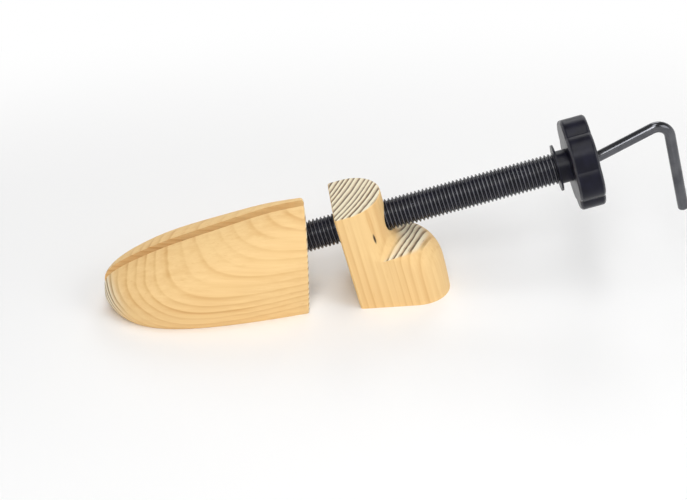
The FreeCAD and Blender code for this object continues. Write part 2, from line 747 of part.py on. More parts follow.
def toe_section(distance, width, top, bottom):
    x = -size("toe_rear") - distance
    sole = width * size("toe_sole_share")
    waist = bottom + size("toe_widest_share") * (top - bottom)
    inner, edge = FreeCAD.Vector(x, 0, bottom), FreeCAD.Vector(x, sole, bottom)
    side, crown = FreeCAD.Vector(x, width, waist), FreeCAD.Vector(x, 0, top)
    return Part.Wire([
        Part.LineSegment(inner, edge).toShape(),
        quarter_curve(edge, FreeCAD.Vector(x, width, bottom), side, math.sqrt(0.5)),
        quarter_curve(side, FreeCAD.Vector(x, width, top), crown, size("toe_fullness")),
        Part.LineSegment(crown, inner).toShape()])


def toe_pockets(screws):
    recess = [block("frame_recess", ("-block_front - body_clearance", "-toe_rear + boss_length"),
                    ("0", "recess_floor"),
                    ("-frame_half_height - body_clearance", "frame_half_height + body_clearance")),
              block("lug_recess",
                    ("-lug_front - frame_corner_round - body_clearance", "-toe_rear + boss_length"),
                    ("0", "recess_floor"), ("-lug_drop - body_clearance", "0"))]
    rounds = [cylinder("boss_pocket", along_axis, "-boss_front - body_clearance", "boss_front",
                       "boss_radius + body_clearance", ("toe_close", "0")),
              cylinder("rod_tip_pocket", along_axis, "-rod_pocket_front", "rod_pocket_front - window_front",
                       "rod_washer_radius + body_clearance", ("toe_close", "0"))]
    for end, place in PIN_PLACES.items():
        rounds.append(cylinder("pin_hole_" + end, across_axis, "0", "pin_hole_end",
                               "pin_radius + body_clearance", place))
        rounds.append(cylinder("bush_seat_" + end, across_axis, "0", "recess_floor + bush_length",
                               "bush_radius", place))
    for end, place in SPRING_PLACES.items():
        rounds.append(cylinder("spring_hole_" + end, across_axis, "0", "anchor_back",
                               "spring_hole_radius", place))
        rounds.append(cylinder("anchor_hole_" + end, across_axis, "anchor_back", "anchor_screw_length",
                               "anchor_screw_radius", place))
    window_inner = "wedge_narrow + (window_front - wedge_rear) * wedge_slope + running_clearance"
    slot = doc.addObject("PartDesign::Body", "ramp_slot")
    outline = add_polygon(new_sketch(slot, "ramp_slot_outline", "XY_Plane"), [
        ("-ramp_rear", "0"), ("-window_front", "0"), ("-window_front", f"{window_inner} + ramp_depth"),
        ("-ramp_rear", "ramp_rear_inner + ramp_depth")])
    padded(slot, "ramp_slot_pad", outline, "2 * window_half_height")
    return bind(fuse("toe_pockets", recess + rounds + [slot] + screws), Placement=AXIS_PLACEMENT)


def make_toe(pockets):
    last = doc.addObject("Part::Feature", "toe_last")
    solid = Part.makeLoft([toe_section(*row) for row in toe_profile()], True, False, False, LOFT_DEGREE)
    rear = max(solid.Faces, key=lambda face: face.CenterOfMass.x)
    rim = [edge for edge in rear.Edges if edge.BoundBox.YMax > size("toe_gap")]
    last.Shape = solid.makeFillet(size("toe_rear_round"), rim)
    room = block("toe_half_space", ("-toe_rear - toe_length", "-toe_rear"),
                 ("half_gap", "2 * toe_ball_half_width"), ("0", "2 * toe_rear_height"))
    half = doc.addObject("Part::Common", "toe_half")
    half.Base = last
    half.Tool = room
    return keep(cut("toe_half_cut", half, pockets), "toe_half_left", None)


# Heel block: a D-shaped stem over a longer rounded foot, with a cove between them

QUARTER_WEIGHT = math.sqrt(0.5)
TOUCH = 0.001


def heel_outline():
    # the back seen from the side, from the top down: stem, cove, swell and foot, each as the weight of
    # its middle corner and its three corners
    half, cove, foot = size("heel_width") / 2, size("heel_cove_radius"), size("heel_foot_depth")
    stem = size("heel_stem_depth") - size("heel_front") - half
    rear = foot - size("heel_front") - half
    top, waist, swell = size("heel_top"), -size("heel_waist"), -size("heel_swell")
    shelf = waist - cove
    tilt = math.radians(size("axis_tilt"))
    root = -(size("axis_height") + foot * math.sin(tilt)) / math.cos(tilt)

    def run(weight, *corners):
        return weight, [FreeCAD.Vector(u, 0, w) for u, w in corners]
    return [run(1, (stem, top), (stem, (top + waist) / 2), (stem, waist)),
            run(QUARTER_WEIGHT, (stem, waist), (stem, shelf), (stem + cove, shelf)),
            run(QUARTER_WEIGHT, (stem + cove, shelf), (rear, shelf), (rear, swell)),
            run(1, (rear, swell), (rear, (swell + root) / 2), (rear - size("heel_base_taper"), root))]


def heel_plan():
    # the rounded back seen from above, as two quarters from the near side to the far side
    half = size("heel_width") / 2
    near, back, far = (FreeCAD.Vector(u, v, 0) for u, v in ((0, -half), (half, 0), (0, half)))
    return [(QUARTER_WEIGHT, [near, FreeCAD.Vector(half, -half, 0), back]),
            (QUARTER_WEIGHT, [back, FreeCAD.Vector(half, half, 0), far])]


def carried(run, quarter):
    # one run of the outline carried along a quarter of the plan without turning
    surface = Part.BezierSurface()
    surface.increase(2, 2)
    for i, (down, first) in enumerate(zip(run[1], (1, run[0], 1)), start=1):
        for j, (across, second) in enumerate(zip(quarter[1], (1, quarter[0], 1)), start=1):
            surface.setPole(i, j, down + across)
            surface.setWeight(i, j, first * second)
    return surface.toShape()


def shifted(run, offset):
    return quarter_curve(*(corner + offset for corner in run[1]), run[0])


def heel_solid():
    outline, plan = heel_outline(), heel_plan()
    top, root = outline[0][1][0], outline[-1][1][-1]
    near, far = plan[0][1][0], plan[-1][1][-1]
    front = -size("heel_front")

    def ahead(place, side):
        return FreeCAD.Vector(front, side.y, place.z)
    faces = [carried(run, quarter) for run in outline for quarter in plan]
    for side in (near, far):
        edges = [shifted(run, side) for run in outline]
        border = Part.makePolygon([root + side, ahead(root, side), ahead(top, side), top + side])
        faces.append(Part.Face(Part.Wire(edges + border.Edges)))
    for level in (top, root):
        edges = [shifted(quarter, level) for quarter in plan]
        border = Part.makePolygon([level + far, ahead(level, far), ahead(level, near), level + near])
        faces.append(Part.Face(Part.Wire(edges + border.Edges)))
    frame = [ahead(level, side) for level, side in ((top, near), (top, far), (root, far), (root, near))]
    faces.append(Part.Face(Part.makePolygon(frame + frame[:1])))
    shell = Part.makeShell(faces)
    shell.sewShape()
    solid = Part.makeSolid(shell)
    corners = [edge for edge in solid.Edges
               if edge.BoundBox.XMax < front + TOUCH and edge.BoundBox.YLength < TOUCH]
    solid = solid.makeFillet(size("heel_corner_round"), corners)
    rim = [edge for edge in solid.Edges if edge.BoundBox.ZMin > top.z - TOUCH]
    return solid.makeFillet(size("heel_top_round"), rim)


def make_heel():
    blank = doc.addObject("Part::Feature", "heel_blank")
    blank.Shape = heel_solid()
    bind(blank, Placement=AXIS_PLACEMENT)
    room = block("heel_room", ("-2 * heel_foot_depth", "2 * heel_foot_depth"), ("-heel_width", "heel_width"),
                 ("0", "2 * axis_height"))
    standing = doc.addObject("Part::Common", "heel_standing")
    standing.Base = blank
    standing.Tool = room
    screws = nut_screws()
    seats = [cylinder(name, along_axis, "-heel_front", length, radius) for name, length, radius in (
        ("nut_flange_seat", "nut_flange_thickness", "nut_flange_radius"),
        ("nut_barrel_seat", "nut_length", "nut_barrel_radius"),
        ("sleeve_way", "2 * heel_foot_depth", "sleeve_radius + body_clearance"))]
    bores = bind(fuse("heel_bores", seats + screws), Placement=AXIS_PLACEMENT)
    keep(cut("heel_cut", standing, bores), "heel_block", None)
    body = doc.addObject("PartDesign::Body", "nut_turned")
    turned(body, "Revolution", "nut_bush", [
        ("-heel_front", "sleeve_radius + running_clearance"), ("-heel_front", "nut_flange_radius"),
        ("-heel_front + nut_flange_thickness", "nut_flange_radius"),
        ("-heel_front + nut_flange_thickness", "nut_barrel_radius"),
        ("-heel_front + nut_length", "nut_barrel_radius"),
        ("-heel_front + nut_length", "sleeve_radius + running_clearance")])
    keep(cut("nut_drilled", body, fuse("nut_screw_holes", screws)), "heel_nut")
    keep(group("nut_screw_set", screws), "heel_nut_screws")


def nut_screws():
    screws = []
    for i in range(int(size("nut_screws"))):
        angle = f"({i} * 360 / nut_screws + 90)"
        place = (f"nut_screw_circle * cos({angle})", f"nut_screw_circle * sin({angle})")
        head = cylinder(f"nut_head_{i}", along_axis, "-heel_front", "nut_screw_head_depth",
                        "nut_screw_head", place)
        shank = cylinder(f"nut_shank_{i}", along_axis, "-heel_front", "nut_screw_length",
                         "nut_screw_radius", place)
        screws.append(fuse(f"nut_screw_{i}", [head, shank]))
    return screws


make_frame()
make_pins()
make_rings()
make_sleeve()
make_collar()
make_knob()
make_rod()
make_wedge()
screws = ramp_screws()
plate, screw_pair = make_ramp(screws)
bushes = make_bushes()
anchors = make_anchors()
make_springs()
toe = make_toe(toe_pockets(screws))
for source in (toe, plate, screw_pair, bushes, anchors):
    mirrored(source, source.Label.replace("_left", "_right"))
make_heel()
doc.recompute()

failed = [item.Name for item in doc.Objects if "Invalid" in item.State or "Error" in item.State]
failed += [item.Label for item in pieces if item.Shape.isNull() or not item.Shape.isValid()]
if failed:
    raise RuntimeError("these did not build: " + ", ".join(failed))

os.makedirs("parts", exist_ok=True)
for item in pieces:
    item.Shape.exportStep(f"parts/{item.Label}.step")
    print(item.Label, len(item.Shape.Solids), round(item.Shape.Volume, 1))
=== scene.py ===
import bmesh
import bpy
import json
import math
import numpy as np
from mathutils import Matrix


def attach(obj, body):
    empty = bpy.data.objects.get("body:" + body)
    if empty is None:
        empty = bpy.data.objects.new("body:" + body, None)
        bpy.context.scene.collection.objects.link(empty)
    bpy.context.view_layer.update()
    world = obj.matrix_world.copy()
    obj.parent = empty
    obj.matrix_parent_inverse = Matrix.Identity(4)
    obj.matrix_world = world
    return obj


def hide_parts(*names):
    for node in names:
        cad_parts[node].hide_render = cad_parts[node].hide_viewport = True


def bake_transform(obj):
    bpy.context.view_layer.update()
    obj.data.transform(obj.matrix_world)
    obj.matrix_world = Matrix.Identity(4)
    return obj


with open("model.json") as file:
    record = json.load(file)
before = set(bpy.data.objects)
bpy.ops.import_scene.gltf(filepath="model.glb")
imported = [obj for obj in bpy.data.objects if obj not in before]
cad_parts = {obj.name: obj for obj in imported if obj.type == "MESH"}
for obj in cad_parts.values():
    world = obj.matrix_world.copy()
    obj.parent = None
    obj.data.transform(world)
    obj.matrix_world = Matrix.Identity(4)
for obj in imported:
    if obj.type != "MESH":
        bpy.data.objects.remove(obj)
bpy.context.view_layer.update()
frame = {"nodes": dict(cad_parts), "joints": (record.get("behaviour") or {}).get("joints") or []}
nodes = frame["nodes"]
joints = {joint["name"]: joint for joint in frame["joints"]}
tau = 2 * math.pi

# The screw axis: u runs along it towards the knob, v is across and w is square to both
axisPoint = np.array(joints["knob_turn"]["pos_m"])
axisU = -np.array(joints["knob_turn"]["axis"])
axisU /= np.linalg.norm(axisU)
axisV = np.array([0.0, 1.0, 0.0])
axisW = np.cross(axisU, axisV)


def toRow(u, v, w):
    # point = axisPoint + u * axisU + v * axisV + w * axisW
    u, v, w = np.broadcast_arrays(u, v, w)
    return axisPoint + u[..., None] * axisU + v[..., None] * axisV + w[..., None] * axisW


def axisCoords(node):
    # u, v and w of a node's points: their way from axisPoint, measured along each axis
    mesh = nodes[node].data
    flat = np.empty(len(mesh.vertices) * 3)
    mesh.vertices.foreach_get("co", flat)
    away = flat.reshape(-1, 3) - axisPoint
    return away @ axisU, away @ axisV, away @ axisW


def smoothstep(share):
    # 3 s^2 - 2 s^3, level at 0 and at 1
    share = np.clip(share, 0, 1)
    return share * share * (3 - 2 * share)


def turnAngles(count):
    return np.arange(count) / count * tau


def dress(material, *names):
    for name in names:
        nodes[name].data.materials[0] = material


# Meshes from grids

meshing = {"weld": 2e-6, "sharpAngle": 32.0}


def gridFaces(rows, around, closedRows=False):
    # quads between each row and the next, wrapped round the columns
    index = np.arange(rows * around).reshape(rows, around)
    here = index if closedRows else index[:-1]
    after = np.roll(index, -1, axis=0) if closedRows else index[1:]
    return np.stack([here, np.roll(here, -1, 1), np.roll(after, -1, 1), after], -1).reshape(-1, 4)


def addPiece(name, grids, material, body=None, replaced=(),
             sharpAngle=meshing["sharpAngle"], closedRows=False):
    # grids is a list of (points, vector attribute or None); each points array is rows x around x 3
    vertices, faces, marks = [], [], []
    for points, mark in grids:
        rows, around = points.shape[:2]
        faces.append(gridFaces(rows, around, closedRows) + sum(len(earlier) for earlier in vertices))
        vertices.append(points.reshape(-1, 3))
        marks.append(np.zeros((rows * around, 3)) if mark is None else mark.reshape(-1, 3))
    mesh = bpy.data.meshes.new(name)
    mesh.from_pydata(np.concatenate(vertices).tolist(), [], np.concatenate(faces).tolist())
    attribute = mesh.attributes.new("surface", "FLOAT_VECTOR", "POINT")
    attribute.data.foreach_set("vector", np.concatenate(marks).astype(np.float32).ravel())
    work = bmesh.new()
    work.from_mesh(mesh)
    bmesh.ops.remove_doubles(work, verts=work.verts, dist=meshing["weld"])
    bmesh.ops.recalc_face_normals(work, faces=work.faces)
    work.to_mesh(mesh)
    work.free()
    mesh.shade_smooth()
    mesh.set_sharp_from_angle(angle=math.radians(sharpAngle))
    mesh.materials.append(material)
    piece = bpy.data.objects.new(name, mesh)
    bpy.context.scene.collection.objects.link(piece)
    if body:
        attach(piece, body)
    if replaced:
        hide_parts(*replaced)
    return piece


def spunGrid(along, radius, angles):
    # point(row, angle): along the axis by along, out from it by radius
    return toRow(along, radius * np.cos(angles), radius * np.sin(angles))


def ringRows(profile, angles):
    # one ring for each (along, radius) of the profile, the same all the way round
    along, radius = np.array(profile, float).T[..., None] + np.zeros(len(angles))
    return along, radius


def joinRows(*bands):
    # bands of (along, radius) rows, end to end
    return [np.concatenate(grids) for grids in zip(*bands)]


def threadRows(start, end, radius, thread, angles):
    # A right-hand thread on even rows, cut square at both ends: the phase falls by one pitch in a turn.
    # groove is 0 on the crest and 1 at the root, with smooth flanks between them
    pitch = thread["pitch"]
    rows = math.ceil((end - start) / pitch * thread["rowsPerTurn"]) + 1
    along = np.linspace(start, end, rows)[:, None] + np.zeros(len(angles))
    phase = np.mod((along - start) / pitch - angles / tau + thread["startTurn"], 1)
    flank = 1 - thread["crestShare"] - thread["rootShare"]
    groove = smoothstep((np.abs(2 * phase - 1) - thread["crestShare"]) / flank)
    return along, radius - thread["depth"] * groove, 1 - groove


# Shader arithmetic

class Field:
    # a socket's value with Python operators, each of which adds a Math node
    def __init__(self, tree, socket=None):
        self.tree = tree
        self.socket = socket

    def node(self, kind, settings=None, sockets=None, output=0):
        made = self.tree.nodes.new(kind)
        for key, value in (settings or {}).items():
            setattr(made, key, value)
        for key, value in (sockets or {}).items():
            if isinstance(value, Field):
                self.tree.links.new(value.socket, made.inputs[key])
            else:
                made.inputs[key].default_value = value
        return Field(self.tree, made.outputs[output])

    def math(self, operation, *values):
        return self.node("ShaderNodeMath", {"operation": operation}, dict(enumerate(values)))

    def __add__(self, other):
        return self.math("ADD", self, other)

    def __radd__(self, other):
        return self.math("ADD", other, self)

    def __sub__(self, other):
        return self.math("SUBTRACT", self, other)

    def __rsub__(self, other):
        return self.math("SUBTRACT", other, self)

    def __mul__(self, other):
        return self.math("MULTIPLY", self, other)

    def __rmul__(self, other):
        return self.math("MULTIPLY", other, self)

    def __truediv__(self, other):
        return self.math("DIVIDE", self, other)

    def __pow__(self, other):
        return self.math("POWER", self, other)

    def __abs__(self):
        return self.math("ABSOLUTE", self)


noiseMiddle = 0.5  # the value that noise runs about
mixSockets = {"factor": 0, "first": 6, "second": 7, "result": 2}  # a Mix node's colour sockets


def newMaterial(name):
    material = bpy.data.materials.new(name)
    material.use_nodes = True
    tree = material.node_tree
    return material, Field(tree), tree.nodes["Principled BSDF"]


def feed(field, shader, socket):
    field.tree.links.new(field.socket, shader.inputs[socket])


def split(place):
    return [place.node("ShaderNodeSeparateXYZ", None, {"Vector": place}, axis) for axis in "XYZ"]


def xyz(field):
    return split(field.node("ShaderNodeTexCoord", output="Object"))


def surfaceMark(field, output):
    return field.node("ShaderNodeAttribute", {"attribute_name": "surface"}, output=output)


def vector(field, x, y, z):
    return field.node("ShaderNodeCombineXYZ", None, {"X": x, "Y": y, "Z": z})


def noise(field, place, scale, detail=2.0, roughness=0.5):
    return field.node("ShaderNodeTexNoise", None,
                      {"Vector": place, "Scale": scale, "Detail": detail, "Roughness": roughness})


def ease(field, low, high):
    # from 0 at low to 1 at high, with a soft start and end
    return field.node("ShaderNodeMapRange", {"interpolation_type": "SMOOTHSTEP"},
                      {"Value": field, "From Min": low, "From Max": high})


def spread(field, low, high):
    # 0 to 1 becomes low to high
    return field.node("ShaderNodeMapRange", None, {"Value": field, "To Min": low, "To Max": high})


def blendColour(factor, first, second):
    mixed = {mixSockets["factor"]: factor}
    for key, colour in (("first", first), ("second", second)):
        mixed[mixSockets[key]] = colour if isinstance(colour, Field) else (*colour, 1)
    return factor.node("ShaderNodeMix", {"data_type": "RGBA"}, mixed, mixSockets["result"])


def bump(height, strength, distance):
    return height.node("ShaderNodeBump", None,
                       {"Strength": strength, "Distance": distance, "Height": height})


def endOn(start, alongRow):
    # 1 where the surface faces along the row, 0 where it runs beside it
    facing = start.node("ShaderNodeTexCoord", output="Normal")
    return abs(start.node("ShaderNodeVectorMath", {"operation": "DOT_PRODUCT"},
                          {0: facing, 1: tuple(alongRow)}, "Value"))


# Pine: growth rings round a pith line, fine fibres along it, and cut ends with strong rings

heelWood = {
    "pithU": -0.144, "pithV": 0.080, "ringStep": 0.0036, "drift": 0.0018, "band": 0.40, "endLine": 1.0,
    "knotU": -0.0145, "knotW": -0.0024, "knotV": -0.012, "knotAcross": 0.0009, "knotAlong": 0.0048,
    "streakW": 0.010, "streakAcross": 0.0018, "streakAlong": 0.018,
    "nearFade": 0.002, "flawLean": 0.04, "flawEdge": (0.40, 1.0),
}
toeWood = {
    "pithY": 0.006, "pithZ": -0.034, "lean": 0.10, "ringStep": 0.0036, "drift": 0.0034, "band": 0.46,
    "endLine": 0.6,
}
pineTones = {
    "sideEarly": (0.94, 0.65, 0.30), "sideLate": (0.72, 0.39, 0.13),
    "endEarly": (0.95, 0.87, 0.66), "endMid": (0.50, 0.30, 0.14), "endLate": (0.045, 0.025, 0.014),
    "knot": (0.06, 0.028, 0.014),
}
pineGrain = {
    # noise as (scale, detail), some of it slower along the grain
    "slowness": 0.12, "drift": (24.0, 1.0), "ripple": (150.0, 2.0), "cloud": (60.0, 2.0),
    "breakSlowness": 0.3, "breaks": (210.0, 2.0), "pores": (2600.0, 1.0),
    # noise drawn out along the grain: cells per metre across it and along it, detail, roughness
    "fibre": (1500.0, 24.0, 3.0, 0.6), "strand": (420.0, 9.0, 2.0, 0.55), "fleck": (900.0, 55.0, 1.0, 0.5),
    # how far ripple and sway move a ring, and the sway's radians per metre
    "rippleReach": 0.0007, "swayReach": 0.0005, "swayRate": 330.0,
    # when in its year, from 0 to 1, each tone comes and goes
    "line": (0.58, 0.80), "autumn": (0.28, 0.72), "yearEnd": (0.93, 1.0),
    "lateSlow": (0.10, 0.80), "lateQuick": (0.58, 0.84), "bandGoes": (0.86, 1.0),
    "faintShift": 0.45, "faintComes": (0.84, 0.94), "faintGoes": (0.95, 1.0),
    # where noise and slope turn into masks
    "lineBreaks": (0.30, 0.62), "faintBreaks": (0.50, 0.62), "cloudEdges": (0.30, 0.70),
    "fleckEdges": (0.66, 0.78), "cutEnd": (0.50, 0.95),
    # least and most of what varies
    "lineUnbroken": (0.70, 1.0), "lineByPores": (0.85, 1.05), "lineByYear": (0.85, 1.0),
    "autumnByYear": (0.5, 0.9), "bandByCloud": (0.35, 1.30), "bandByYear": (0.45, 1.30),
    "streakByStrand": (0.4, 1.6),
    # shares of the colours
    "quickShare": 0.6, "faintShare": 0.40, "fleckShare": 0.22, "streakShare": 0.55, "endFibre": 0.10,
    "sideFibre": 0.30, "sideStrand": 0.60, "sideCloud": 0.30, "sideLevel": 0.50,
    # finish
    "roughness": 0.58, "fibreGloss": 0.16, "bandGloss": 0.08, "specular": 0.35,
    "bumpLine": 0.2, "bumpFibre": 0.6, "bumpStrand": 0.4, "bumpFleck": 0.5,
    "bumpStrength": 0.25, "bumpHeight": 0.00020,
}


def pineYears(start, slow, across, out, wood):
    # rings counted outwards: the distance from the pith, moved by drift, ripple and sway, over the step
    drift = noise(start, slow, *pineGrain["drift"]) - noiseMiddle
    ripple = noise(start, slow, *pineGrain["ripple"]) - noiseMiddle
    distance = (across * across + out * out) ** 0.5
    distance = distance + drift * wood["drift"] + ripple * pineGrain["rippleReach"]
    sway = pineGrain["swayReach"] * start.math("SINE", distance * pineGrain["swayRate"])
    return (distance + sway) / wood["ringStep"]


def pineRings(start, year, broken, cloud):
    # pale early wood turns to brown autumn wood and a thin dark line at each year's end, no two years alike
    grain = pineGrain
    phase = start.math("FRACT", year)
    growth = start.node("ShaderNodeTexWhiteNoise", {"noise_dimensions": "1D"},
                        {"W": start.math("FLOOR", year)})
    ended = 1 - ease(phase, *grain["yearEnd"])
    unbroken = spread(ease(broken, *grain["lineBreaks"]), *grain["lineUnbroken"])
    line = ease(phase, *grain["line"]) * ended * unbroken
    autumn = ease(phase, *grain["autumn"]) * ended
    middle = start.math("FRACT", year + grain["faintShift"])
    faint = (ease(middle, *grain["faintComes"]) * (1 - ease(middle, *grain["faintGoes"]))
             * ease(broken, *grain["faintBreaks"]))
    late = (ease(phase, *grain["lateSlow"]) * (1 - grain["quickShare"])
            + ease(phase, *grain["lateQuick"]) * grain["quickShare"])
    band = (late * (1 - ease(phase, *grain["bandGoes"]))
            * spread(ease(cloud, *grain["cloudEdges"]), *grain["bandByCloud"])
            * spread(growth, *grain["bandByYear"]))
    return line, autumn, faint, band, growth


def pine(name, pickAxes, wood, alongRow, flaws=None):
    material, start, shader = newMaterial(name)
    grain, tones = pineGrain, pineTones
    along, across, out = pickAxes(xyz(start))
    slow = vector(start, across, out, along * grain["slowness"])

    def drawnOut(acrossRate, alongRate, detail, roughness):
        place = vector(start, across * acrossRate, out * acrossRate, along * alongRate)
        return noise(start, place, scale=1.0, detail=detail, roughness=roughness)

    fibre, strand = drawnOut(*grain["fibre"]), drawnOut(*grain["strand"])
    fleck = ease(drawnOut(*grain["fleck"]), *grain["fleckEdges"])
    cloud = noise(start, slow, *grain["cloud"])
    broken = noise(start, vector(start, across, out, along * grain["breakSlowness"]), *grain["breaks"])
    pores = noise(start, vector(start, across, out, along), *grain["pores"])
    year = pineYears(start, slow, across, out, wood)
    line, autumn, faint, band, growth = pineRings(start, year, broken, cloud)
    cutEnd = ease(endOn(start, alongRow), *grain["cutEnd"])

    late = (band * wood["band"] + fibre * grain["sideFibre"] + strand * grain["sideStrand"]
            + cloud * grain["sideCloud"] - grain["sideLevel"])
    side = blendColour(late, tones["sideEarly"], tones["sideLate"])
    brown = autumn * spread(growth, *grain["autumnByYear"]) + fibre * grain["endFibre"]
    rings = (line * spread(pores, *grain["lineByPores"]) * spread(growth, *grain["lineByYear"])
             + faint * grain["faintShare"])
    end = blendColour(brown, tones["endEarly"], tones["endMid"])
    end = blendColour(rings * wood["endLine"], end, tones["endLate"])
    colour = blendColour(cutEnd, side, end)
    colour = blendColour(fleck * grain["fleckShare"] * (1 - cutEnd), colour, tones["sideLate"])
    if flaws:
        knot, streak = (flaw * (1 - cutEnd) for flaw in flaws(start))
        streak = streak * grain["streakShare"] * spread(strand, *grain["streakByStrand"])
        colour = blendColour(streak, colour, tones["sideLate"])
        colour = blendColour(knot, colour, tones["knot"])
    height = (line * grain["bumpLine"] + fibre * grain["bumpFibre"] + strand * grain["bumpStrand"]
              - fleck * grain["bumpFleck"])
    feed(colour, shader, "Base Color")
    feed(grain["roughness"] + fibre * grain["fibreGloss"] - band * grain["bandGloss"], shader, "Roughness")
    feed(bump(height, grain["bumpStrength"], grain["bumpHeight"]), shader, "Normal")
    shader.inputs["Specular IOR Level"].default_value = grain["specular"]
    return material


def heelAxes(place):
    # along the grain, which is w, then u and v from the pith
    x, y, z = place
    u = (x - axisPoint[0]) * axisU[0] + (z - axisPoint[2]) * axisU[2]
    w = (x - axisPoint[0]) * axisW[0] + (z - axisPoint[2]) * axisW[2]
    return w, u - heelWood["pithU"], y - heelWood["pithV"]


def heelFlaws(start):
    # a small dark knot on the near side and a soft resin streak through it: ellipses in u and w
    w, u, v = heelAxes(xyz(start))
    sideways = u + heelWood["pithU"] - heelWood["knotU"]
    near = 1 - ease(v + heelWood["pithV"], heelWood["knotV"] - heelWood["nearFade"], heelWood["knotV"])

    def ellipse(middle, across, reach):
        lean = (sideways + (w - middle) * heelWood["flawLean"]) / across
        rise = (w - middle) / reach
        return near * (1 - ease((lean * lean + rise * rise) ** 0.5, *heelWood["flawEdge"]))

    return (ellipse(heelWood["knotW"], heelWood["knotAcross"], heelWood["knotAlong"]),
            ellipse(heelWood["streakW"], heelWood["streakAcross"], heelWood["streakAlong"]))


def toeAxes(place):
    # along the grain, which is x, then y and z from a pith that leans
    x, y, z = place
    return x, y - toeWood["pithY"], z - toeWood["pithZ"] + x * toeWood["lean"]


dress(pine("heelPine", heelAxes, heelWood, axisW, heelFlaws), "heel_block")
dress(pine("toePine", toeAxes, toeWood, (1, 0, 0)), "toe_half_left", "toe_half_right")
print("pine: heel block and toe halves")


# Black moulded plastic: knob, collar, heel nut and the screw sleeve

# the pale tone given to edges and crests is partly wear and partly painted highlight
plastic = {
    "dark": (0.004, 0.004, 0.010), "pale": (0.008, 0.008, 0.019), "wearAndHighlight": (0.085, 0.085, 0.095),
    "cloud": (140.0, 3.0), "grain": (3800.0, 1.0), "scuff": (520.0, 4.0, 0.7),
    "cloudEdges": (0.3, 0.7), "scuffEdges": (0.58, 0.72), "wearAndHighlightByCloud": (0.2, 0.9),
    "cloudGloss": 0.12, "scuffGloss": 0.10, "wearAndHighlightGloss": 0.14,
    "bumpScuff": 0.6, "bumpStrength": 0.12, "bumpHeight": 0.00006,
    "edgeComes": (0.15, 0.50), "edgeGoes": (0.80, 0.97), "crestEdges": (0.75, 1.0),
}


def blackPlastic(name, roughness, specular, wearAndHighlightEdges):
    # the last argument gives the mask of the edges and crests made paler and glossier: partly wear where
    # hands and threads polish, partly painted highlight
    material, start, shader = newMaterial(name)
    place = vector(start, *xyz(start))
    cloud, grain, scuff = (noise(start, place, *plastic[key]) for key in ("cloud", "grain", "scuff"))
    scuff = ease(scuff, *plastic["scuffEdges"])
    colour = blendColour(ease(cloud, *plastic["cloudEdges"]), plastic["dark"], plastic["pale"])
    gloss = roughness + (cloud - noiseMiddle) * plastic["cloudGloss"] + scuff * plastic["scuffGloss"]
    wearAndHighlightMask = wearAndHighlightEdges(start) * spread(cloud, *plastic["wearAndHighlightByCloud"])
    height = grain + scuff * plastic["bumpScuff"]
    # edges and crests painted paler and glossier: partly wear, partly painted highlight
    feed(blendColour(wearAndHighlightMask, colour, plastic["wearAndHighlight"]), shader, "Base Color")
    feed(gloss - wearAndHighlightMask * plastic["wearAndHighlightGloss"], shader, "Roughness")
    feed(bump(height, plastic["bumpStrength"], plastic["bumpHeight"]), shader, "Normal")
    shader.inputs["Specular IOR Level"].default_value = specular
    return material


def roundedEdges(start):
    # between the rim, which runs along the axis, and the faces square to it: a painted highlight along the
    # rounded edges, partly wear
    tilt = endOn(start, axisU)
    return ease(tilt, *plastic["edgeComes"]) * (1 - ease(tilt, *plastic["edgeGoes"]))


# thread crests: made paler and glossier, partly wear and partly a painted highlight
def threadCrests(start):
    return ease(surfaceMark(start, "Fac"), *plastic["crestEdges"])


knobPlastic = blackPlastic("knobPlastic", roughness=0.31, specular=0.18, wearAndHighlightEdges=roundedEdges)
sleevePlastic = blackPlastic("sleevePlastic", roughness=0.20, specular=0.55, wearAndHighlightEdges=threadCrests)
dress(knobPlastic, "length_knob", "knob_collar", "heel_nut")
print("plastic: knob, collar and nut")


# Metals: streak is how many noise cells there are per metre along x, y and z, or along the piece's own
# surface vector where fromSurface is true

metalLooks = {
    "rodSteel": {"tone": (0.140, 0.142, 0.152), "shade": (0.085, 0.087, 0.096), "roughness": 0.16,
                 "streak": (2600.0, 2600.0, 14.0), "fromSurface": True},
    "frameSteel": {"tone": (0.46, 0.47, 0.48), "shade": (0.36, 0.37, 0.38), "roughness": 0.36,
                   "streak": (60.0, 2400.0, 2400.0), "fromSurface": False},
    "brightSteel": {"tone": (0.60, 0.61, 0.63), "shade": (0.50, 0.51, 0.53), "roughness": 0.28,
                    "streak": (900.0, 60.0, 900.0), "fromSurface": False},
    "springSteel": {"tone": (0.52, 0.52, 0.53), "shade": (0.42, 0.42, 0.44), "roughness": 0.24,
                    "streak": (2600.0, 2600.0, 30.0), "fromSurface": True},
    "bushBrass": {"tone": (0.72, 0.50, 0.20), "shade": (0.60, 0.40, 0.15), "roughness": 0.28,
                  "streak": (900.0, 60.0, 900.0), "fromSurface": False},
}
metalGrain = {
    "linesDetail": 3.0, "linesRoughness": 0.6, "cloud": (90.0, 3.0), "cloudShare": 0.6,
    "toneEdges": (0.35, 0.65), "linesGloss": 0.22, "dullEdges": (0.55, 0.8), "dullGloss": 0.08,
    "bumpStrength": 0.10, "bumpHeight": 0.00004,
}


